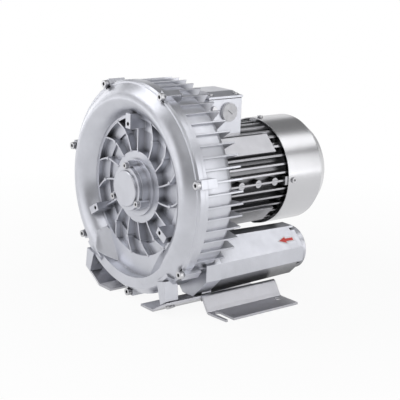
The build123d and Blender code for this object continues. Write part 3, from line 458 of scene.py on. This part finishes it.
# the stripper recess: a room with sloped ends, from its floor to a plane in front of the cover
RECESS_RADIUS = 119.6
RECESS_FLOOR = 8.0
RECESS_TOP = -14.0
RECESS_LIMIT_FRONT = -16.0
RECESS_FLOOR_CORNERS = [(-75.7, -50.2), (-29.2, -130.2), (21.0, -133.0), (72.6, -48.4)]
RECESS_TOP_CORNERS = [(-89.5, -58.3), (-43.0, -138.3), (46.6, -148.6), (98.2, -64.0)]

LUG_ANGLES = (90.0, 210.0, 330.0)             # lugs of the bearing cap, guard posts and their webs
LUG_CIRCLE, LUG_RADIUS = 31.0, 6.0
RIB_COUNT = 15                                # every fifth is a guard post with its web
RIB_THICK = 2.2
RIB_FRONT = 7.0
RIB_INNER_TURN, RIB_PIN_TURN, RIB_OUTER_TURN = -7.0, -2.5, 6.5
RIB_STEPS = 6
PIN_CIRCLE, PIN_RADIUS, PIN_FRONT = 74.0, 2.2, 6.0
POST_INNER, POST_OUTER, POST_FRONT, POST_WIDTH = 80.0, 100.0, -9.0, 10.6
GUARD_HOLE_CIRCLE, GUARD_HOLE_RADIUS = 86.0, 2.6
GUARD_HOLE_FRONT, GUARD_HOLE_REAR = -12.0, 8.0
COVER_LUG_FRONT = -11.0
SINK = 1.0                                    # how far a piece reaches into what carries it


def rib(angle):
    """Thin wall from the hub over its pin to the lip, and the pin."""
    inner = polar(HUB_RADIUS - SINK, angle + RIB_INNER_TURN)
    pin = polar(PIN_CIRCLE, angle + RIB_PIN_TURN)
    outer = polar(LIP_INNER + SINK, angle + RIB_OUTER_TURN)
    line = [Vector(p) for p in through([inner, pin, outer], RIB_STEPS)]
    left, right = [], []
    for i, point in enumerate(line):
        along = (line[min(i + 1, len(line) - 1)] - line[max(i - 1, 0)]).normalized()
        side = Vector((-along.y, along.x)) * RIB_THICK / 2
        left.append(tuple(point + side))
        right.append(tuple(point - side))
    foot = DISC_FACE + SINK
    return [prism(left + right[::-1], RIB_FRONT, foot), rod(PIN_RADIUS, PIN_FRONT, foot, *pin, sides=16)]


def cover_skin():
    """Channel bulge and bottom band, with the stripper recess cut into them."""
    bulge = through(BULGE, BULGE_STEPS) + [(LIP_OUTER, JOINT_Y), (BULGE_FOOT, JOINT_Y)]
    skin = solid("front_cover_skin", [turned(bulge, BULGE_START, BULGE_SWEEP),
                                      turned(BAND_PROFILE, BAND_START, BAND_SWEEP)])
    room = solid("recess", [ruled([(x, RECESS_FLOOR, z) for x, z in RECESS_FLOOR_CORNERS],
                                  [(x, RECESS_TOP, z) for x, z in RECESS_TOP_CORNERS])])
    ring = [(LIP_INNER, RECESS_LIMIT_FRONT), (RECESS_RADIUS, RECESS_LIMIT_FRONT),
            (RECESS_RADIUS, RECESS_FLOOR), (LIP_INNER, RECESS_FLOOR)]
    limit = solid("recess_limit", [turned(ring)])
    combine(room, limit, "INTERSECT")
    combine(skin, room, "DIFFERENCE")
    return skin


def guard_posts():
    """Posts for a guard's screws, with their holes."""
    posts = solid("posts", [box_at(angle, POST_INNER, POST_OUTER, POST_FRONT, DISC_FACE + SINK, POST_WIDTH)
                            for angle in LUG_ANGLES])
    holes = solid("holes", [rod(GUARD_HOLE_RADIUS, GUARD_HOLE_FRONT, GUARD_HOLE_REAR,
                                *polar(GUARD_HOLE_CIRCLE, angle)) for angle in LUG_ANGLES])
    combine(posts, holes, "DIFFERENCE")
    return posts


def front_cover():
    foot = DISC_FACE + SINK
    forms = [turned(RIM_PROFILE), turned(DISC_PROFILE)]
    for angle in LUG_ANGLES:
        forms.append(rod(LUG_RADIUS, BOSS_FACE, HUB_FACE + SINK, *polar(LUG_CIRCLE, angle)))
        forms.append(box_at(angle, HUB_RADIUS - SINK, POST_INNER + SINK, RIB_FRONT, foot, RIB_THICK))
    for i in range(RIB_COUNT):
        if i % (RIB_COUNT // len(LUG_ANGLES)):
            forms += rib(LUG_ANGLES[0] + 360.0 * i / RIB_COUNT)
    forms += ears(0.0, JOINT_Y) + foot_lugs(COVER_LUG_FRONT, JOINT_Y)
    made = merged("front_cover_form", [cover_skin(), guard_posts(), solid("front_cover_rest", forms)])
    stand_in(made, "front_cover", "cast_alloy")


# ---- impeller housing: smooth skin, low ridges that run out behind its corner -----------------------------
SKIN_RADIUS = 138.5
JOINT_RIM_REAR = 15.0
WALL_FRONT, WALL_REAR = 38.5, 44.5            # wall behind the impeller
CHANNEL_INNER, CHANNEL_OUTER, CHANNEL_REAR = 98.5, 128.5, 65.0
SEAT_INNER, SEAT_OUTER, SEAT_REAR = 62.0, 72.0, 95.0     # ring that carries the motor
SHAFT_ROOM = 25.0
HOUSING_PROFILE = [(RIM_RADIUS, JOINT_Y), (RIM_RADIUS, JOINT_RIM_REAR), (SKIN_RADIUS, JOINT_RIM_REAR + 0.5),
                   (SKIN_RADIUS, 50.0), (137.0, 55.0), (132.5, 59.5), (126.5, CHANNEL_REAR),
                   (CHANNEL_INNER, CHANNEL_REAR), (92.5, 59.0), (90.5, WALL_REAR), (SEAT_OUTER, WALL_REAR),
                   (SEAT_OUTER, SEAT_REAR), (SEAT_INNER, SEAT_REAR), (SEAT_INNER, WALL_REAR),
                   (SHAFT_ROOM, WALL_REAR), (SHAFT_ROOM, WALL_FRONT), (CHANNEL_OUTER, WALL_FRONT),
                   (CHANNEL_OUTER, JOINT_Y)]
RIDGE_START = -45.0
RIDGE_PITCH = 360.0 / 56
RIDGE_COUNT = 43
RIDGE_THICK = 2.4
RIDGE_ROOT, RIDGE_TIP = 117.0, 141.7
RIDGE_FRONT = [(RIDGE_ROOT, WALL_FRONT), (136.5, JOINT_RIM_REAR), (RIDGE_TIP, JOINT_RIM_REAR)]
RIDGE = RIDGE_FRONT + [(RIDGE_TIP, 72.0), (127.5, 69.4), (RIDGE_ROOT, 67.9)]
RIDGE_SHORT = RIDGE_FRONT + [(RIDGE_TIP, 62.0), (RIDGE_ROOT, 62.0)]     # ends in front of the silencer
EAR_REAR = 25.4
SILENCER_X, SILENCER_Z = 77.0, -96.0          # eight-sided collars that carry the silencers
SILENCER_HALF, SILENCER_SIDE = 37.5, 22.0
SILENCER_FRONT = 63.0
SILENCER_ROOM = 2.0
NEAR_RADIUS = 134.0           # where a ridge is tested for room beside the silencer
REAR_LUG_FRONT, REAR_LUG_REAR = 49.0, 65.0


def near_silencer(angle):
    x, z = polar(NEAR_RADIUS, angle)
    return max(abs(abs(x) - SILENCER_X), abs(z - SILENCER_Z)) < SILENCER_HALF + SILENCER_ROOM


def silencer_collar():
    half, side = SILENCER_HALF, SILENCER_SIDE / 2
    corners = [(half, -side), (half, side), (side, half), (-side, half), (-half, side), (-half, -side),
               (-side, -half), (side, -half)]
    return prism([(SILENCER_X + dx, SILENCER_Z + dz) for dx, dz in corners], WALL_FRONT, SILENCER_FRONT)


def impeller_housing():
    forms = [turned(HOUSING_PROFILE)]
    for i in range(RIDGE_COUNT):
        angle = RIDGE_START + RIDGE_PITCH * i
        forms.append(slab(angle, RIDGE_SHORT if near_silencer(angle) else RIDGE, RIDGE_THICK))
    collar = silencer_collar()
    forms += ears(JOINT_Y, EAR_REAR) + [collar, mirrored(collar)] + foot_lugs(REAR_LUG_FRONT, REAR_LUG_REAR)
    stand_in(solid("impeller_housing_form", forms), "impeller_housing", "cast_alloy")


# ---- flow arrow on the outlet silencer -------------------------------------------------------------------
ARROW_TIP = Vector((0.1018, 0.0137, 0.0778))
ARROW_TAIL = Vector((0.1015, 0.0393, 0.0773))
SLOPE_NORMAL = Vector((0.7070, 0.0195, 0.7070))
ARROW_HEIGHT = 9.5 * MM
ARROW_HEAD = 0.48             # share of the length that the head takes
ARROW_STEM = 0.42             # share of the height that the stem takes
HALO = 1.2 * MM               # pale border round the red print
FILM = 0.15 * MM              # thickness of each film
TIP_GROWTH = 1.9              # how much further the border reaches at the tip and at the head's corners
CORNER_GROWTH = 1.4


def film(name, outline, lift, material):
    """A thin film on the silencer's upper slope; outline points are (along the arrow, across it)."""
    along = (ARROW_TAIL - ARROW_TIP).normalized()
    across = SLOPE_NORMAL.cross(along).normalized()
    normal = along.cross(across).normalized()
    if normal.dot(SLOPE_NORMAL) < 0:
        normal = -normal
    low = [ARROW_TIP + along * u + across * v + normal * lift for u, v in outline]
    high = [point + normal * FILM for point in low]
    count = len(outline)
    sides = [(i, (i + 1) % count, count + (i + 1) % count, count + i) for i in range(count)]
    faces = [tuple(range(count)), tuple(range(2 * count - 1, count - 1, -1)), *sides]
    mesh = bpy.data.meshes.new(name)
    mesh.from_pydata([tuple(p) for p in low + high], [], faces)
    made = bpy.data.objects.new(name, mesh)
    bpy.context.scene.collection.objects.link(made)
    mesh.materials.append(material)
    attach(made, "root")


def arrow_outline(grow):
    """Arrow that points to the front, grown evenly by a border."""
    length = (ARROW_TAIL - ARROW_TIP).length
    half = ARROW_HEIGHT / 2
    stem = half * ARROW_STEM
    head = length * ARROW_HEAD
    tip = -grow * TIP_GROWTH
    corner = half + grow * CORNER_GROWTH
    return [(tip, 0.0), (head + grow, corner), (head + grow, stem + grow), (length + grow, stem + grow),
            (length + grow, -stem - grow), (head + grow, -stem - grow), (head + grow, -corner)]


def flow_arrow():
    film("arrow_border", arrow_outline(HALO), 0.0, plain("pale print", (0.80, 0.78, 0.78), 0.45, grain=0.04))
    film("arrow", arrow_outline(0.0), FILM, plain("red print", (0.66, 0.05, 0.04), 0.42, grain=0.04))


# ---- floor, light, camera ------------------------------------------------------------------------------
FLOOR_SIZE = 16.0
FLOOR_COLOUR = 0.80
FLOOR_WHITE = 0.92            # share of plain white seen near the object; it is 1 far away
FLOOR_NEAR = 0.25             # radii between which the floor turns plain white
FLOOR_FAR = 0.75
WORLD_LIGHT = 0.26
LAMPS = [
    # name, azimuth from +X and elevation in degrees, distance, size, power
    ("low_left", -100.0, 12.0, 1.7, 0.9, 3.2),
    ("front", -138.0, 4.0, 1.7, 1.0, 2.6),
    ("low_back", -175.0, 12.0, 1.7, 0.9, 3.6),
    ("high_left", -130.0, 45.0, 1.7, 0.9, 6.0),
    ("high_camera", -35.0, 50.0, 1.7, 1.2, 8.0),
    ("right", 32.0, 12.0, 1.7, 1.0, 5.2),
    ("high_right", 62.0, 46.0, 1.7, 0.8, 3.2),
    ("behind", 141.0, 16.0, 1.7, 0.8, 1.5),
]


def seen_or_mirrored(tree):
    """1 for rays from the camera, mirrors and glass, 0 for rays that only carry light."""
    path = add(tree, "ShaderNodeLightPath")
    total = path.outputs["Is Camera Ray"]
    for name in ("Is Glossy Ray", "Is Transmission Ray"):
        join = add(tree, "ShaderNodeMath", _operation="MAXIMUM")
        tree.links.new(total, join.inputs[0])
        tree.links.new(path.outputs[name], join.inputs[1])
        total = join.outputs["Value"]
    return total


def world():
    """Plain grey surroundings; what the camera sees is the floor."""
    made = bpy.data.worlds.new("studio")
    bpy.context.scene.world = made
    made.use_nodes = True
    tree = made.node_tree
    tree.nodes.clear()
    output = tree.nodes.new("ShaderNodeOutputWorld")
    background = add(tree, "ShaderNodeBackground", Color=(1.0, 1.0, 1.0, 1.0), Strength=WORLD_LIGHT)
    tree.links.new(background.outputs["Background"], output.inputs["Surface"])


def floor():
    bpy.ops.mesh.primitive_plane_add(size=FLOOR_SIZE)
    plane = bpy.context.object
    plane.name = "floor"
    material = bpy.data.materials.new("floor")
    material.use_nodes = True
    tree = material.node_tree
    tree.nodes.clear()
    output = tree.nodes.new("ShaderNodeOutputMaterial")
    lit = add(tree, "ShaderNodeBsdfDiffuse", Color=(FLOOR_COLOUR, FLOOR_COLOUR, FLOOR_COLOUR, 1.0))
    shown = add(tree, "ShaderNodeEmission", Color=(1.0, 1.0, 1.0, 1.0), Strength=1.0)
    radius = add(tree, "ShaderNodeVectorMath", _operation="LENGTH")
    tree.links.new(place(tree), radius.inputs[0])
    white = spread(tree, radius.outputs["Value"], FLOOR_WHITE, 1.0, FLOOR_NEAR, FLOOR_FAR)
    share = add(tree, "ShaderNodeMath", _operation="MULTIPLY")
    tree.links.new(seen_or_mirrored(tree), share.inputs[0])
    tree.links.new(white, share.inputs[1])
    mix = add(tree, "ShaderNodeMixShader")
    tree.links.new(share.outputs["Value"], mix.inputs["Fac"])
    tree.links.new(lit.outputs["BSDF"], mix.inputs[1])
    tree.links.new(shown.outputs["Emission"], mix.inputs[2])
    tree.links.new(mix.outputs["Shader"], output.inputs["Surface"])
    plane.data.materials.append(material)


def lamp(name, azimuth, elevation, distance, size, power):
    """A square softbox that faces the object."""
    middle = (CAD_LOW + CAD_HIGH) / 2
    a, e = math.radians(azimuth), math.radians(elevation)
    toward = Vector((math.cos(e) * math.cos(a), math.cos(e) * math.sin(a), math.sin(e)))
    data = bpy.data.lights.new(name, "AREA")
    data.shape = "SQUARE"
    data.size = size
    data.energy = power
    made = bpy.data.objects.new(name, data)
    bpy.context.scene.collection.objects.link(made)
    made.location = middle + toward * distance
    made.rotation_mode = "QUATERNION"
    made.rotation_quaternion = (-toward).to_track_quat("-Z", "Y")


def lights():
    for values in LAMPS:
        lamp(*values)


def camera():
    data = bpy.data.cameras.new("camera")
    data.sensor_width = SENSOR_WIDTH
    data.lens = CAMERA_LENS
    made = bpy.data.objects.new("camera", data)
    bpy.context.scene.collection.objects.link(made)
    back = CAMERA_BACK.normalized()
    up = back.cross(CAMERA_RIGHT).normalized()
    right = up.cross(back)
    axes = Matrix((right, up, back)).transposed()
    made.matrix_world = Matrix.Translation(CAMERA_POSITION) @ axes.to_4x4()
    bpy.context.scene.camera = made


def settings():
    bpy.context.scene.view_settings.view_transform = "Standard"


finish_nodes()
front_cover()
impeller_housing()
flow_arrow()
world()
floor()
lights()
camera()
settings()
